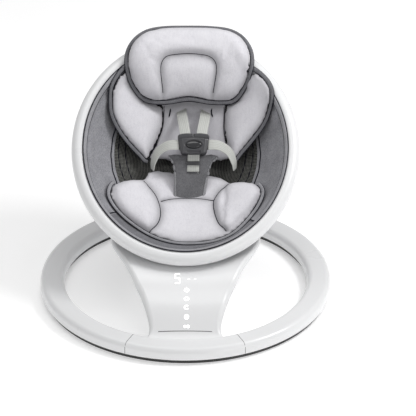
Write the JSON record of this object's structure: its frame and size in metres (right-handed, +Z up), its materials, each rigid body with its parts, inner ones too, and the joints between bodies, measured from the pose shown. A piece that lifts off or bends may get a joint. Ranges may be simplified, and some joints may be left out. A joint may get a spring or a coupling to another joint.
{
  "type": "baby swing",
  "caption": "Floor-standing baby swing: oval padded seat with harness on a stem, swaying side to side above a round floor ring.",
  "frame": {"origin": "centre of the floor ring, on the floor", "axes": "-Y is the front (feet end and touch panel), +Y the head end, +X the right seen from the front, +Z up"},
  "size_m": [0.66, 0.6785, 0.5029],
  "materials": {
    "white_shell": "satin",
    "inner_plastic": "matte",
    "foot_rubber": "matte",
    "steel": "brushed",
    "cast_alloy": "cast",
    "bronze": "machined",
    "copper_wire": "wound wire",
    "magnet": "plated",
    "circuit_board": "satin",
    "light_guide": "translucent",
    "dark_plastic": "matte",
    "pale_plastic": "satin",
    "grey_fabric": "woven",
    "plush": "plush",
    "webbing": "woven",
    "dark_fabric": "woven"
  },
  "bodies": {
    "base": {"base_front_hub": "white_shell", "base_tube_left": "white_shell", "base_tube_right": "white_shell", "rear_joint_spigot": "inner_plastic", "hub_spigot_left": "inner_plastic", "hub_spigot_right": "inner_plastic", "foot_ring": "foot_rubber", "base_screws": "steel", "stem_top_cover": "white_shell", "cover_screws": "steel", "housing_screws": "steel", "board_screws": "steel", "bearing_housing": "cast_alloy", "bearing_lower": "bronze", "bearing_upper": "bronze", "drive_coil": "copper_wire", "coil_holder": "inner_plastic", "control_board": "circuit_board", "touch_board": "circuit_board", "light_guide": "light_guide", "loudspeaker": "dark_plastic", "dc_inlet": "dark_plastic"},
    "seat": {"swing_shaft": "steel", "shaft_circlip": "steel", "magnet_lever": "steel", "drive_magnet": "magnet", "seat_saddle": "steel", "saddle_screws": "steel", "hoop_frame": "steel", "hoop_cover_left": "white_shell", "hoop_cover_right": "white_shell", "sling_rim": "grey_fabric", "seat_sling": "grey_fabric", "insert_back": "plush", "insert_seat": "plush", "head_pillow": "plush", "shoulder_strap_left": "webbing", "shoulder_strap_right": "webbing", "waist_strap_left": "webbing", "waist_strap_right": "webbing", "crotch_webbing": "webbing", "crotch_slider": "pale_plastic", "crotch_pad": "dark_fabric", "buckle_body": "dark_plastic", "button_spring": "steel"},
    "button": {"buckle_button": "dark_plastic"},
    "tongue_left": {"tongue_left": "dark_plastic"},
    "tongue_right": {"tongue_right": "dark_plastic"}
  },
  "joints": [
    {"name": "seat_sway", "type": "hinge", "parent": "base", "child": "seat", "pos_m": [0, -0.072, 0.1256], "axis": [0, 0.309, 0.9511], "range_deg": [-12, 12]},
    {"name": "buckle_press", "type": "slide", "parent": "seat", "child": "button", "axis": [0, 0.682, -0.7314], "range_m": [0, 0.0035], "stiffness_N_per_m": 400, "springref_m": -0.002, "deforming": ["button_spring"]},
    {"name": "tongue_left_pull", "type": "slide", "parent": "seat", "child": "tongue_left", "axis": [-1, 0, 0], "range_m": [0, 0.03], "deforming": ["waist_strap_left"]},
    {"name": "tongue_right_pull", "type": "slide", "parent": "seat", "child": "tongue_right", "axis": [1, 0, 0], "range_m": [0, 0.03], "deforming": ["waist_strap_right"]}
  ]
}
